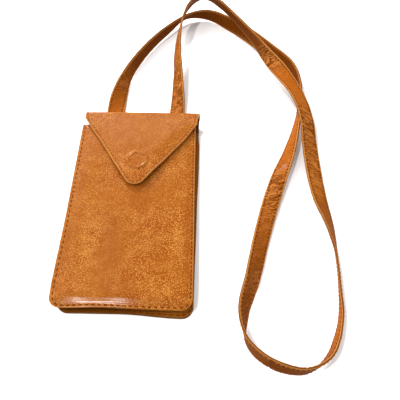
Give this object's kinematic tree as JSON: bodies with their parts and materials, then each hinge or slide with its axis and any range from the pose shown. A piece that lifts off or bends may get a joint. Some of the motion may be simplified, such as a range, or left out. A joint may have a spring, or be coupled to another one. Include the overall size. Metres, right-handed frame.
{
  "type": "phone pouch",
  "caption": "Flat leather phone pouch with a pointed snap flap, stitched side strip and long flat shoulder strap.",
  "frame": {"origin": "middle of the pouch's back, on the surface that it lies on", "axes": "+X across the pouch, to the right of someone facing its front; +Y from the bottom seam up to the flap's fold; +Z out of the front through the thickness"},
  "size_m": [0.2199, 0.3978, 0.0343],
  "materials": {
    "tan_leather": "glossy grained tan",
    "dark_leather": "satin brown in the folds",
    "inner_leather": "matt split leather",
    "strap_leather": "glossy creased tan",
    "lining_cloth": "matt weave",
    "stiffener_board": "matt stiffener sheet",
    "snap_metal": "polished nickel",
    "snap_magnet": "matt ferrite"
  },
  "bodies": {
    "pouch": {"front_panel": "tan_leather", "front_board": "stiffener_board", "front_lining": "lining_cloth", "mouth_facing": "inner_leather", "back_panel": "tan_leather", "back_board": "stiffener_board", "back_lining": "lining_cloth", "root_stiffener": "stiffener_board", "gusset": "dark_leather", "gusset_lining": "lining_cloth", "flap_root": "tan_leather", "snap_case": "snap_metal", "snap_magnet": "snap_magnet", "snap_pole_plate": "snap_metal", "snap_female_prongs": "snap_metal", "snap_female_washer": "snap_metal", "strap_tab_left": "strap_leather", "strap_tab_right": "strap_leather", "strap_left_length": "strap_leather", "strap_right_length": "strap_leather"},
    "spine": {"flap_spine": "tan_leather", "spine_lining": "inner_leather"},
    "flap": {"flap": "tan_leather", "flap_lining": "inner_leather", "snap_male_plate": "snap_metal", "snap_stud": "snap_metal", "snap_male_prongs": "snap_metal", "snap_male_washer": "snap_metal"}
  },
  "joints": [
    {"name": "lower_crease", "type": "hinge", "parent": "pouch", "child": "spine", "pos_m": [0, 0.095, 0.0026], "axis": [-1, 0, 0], "range_deg": [0, 75]},
    {"name": "upper_crease", "type": "hinge", "parent": "spine", "child": "flap", "pos_m": [0, 0.095, 0.0185], "axis": [-1, 0, 0], "range_deg": [0, 75]}
  ],
  "couplings": [
    {"joint": "upper_crease", "follows": "lower_crease", "ratio": 1}
  ]
}
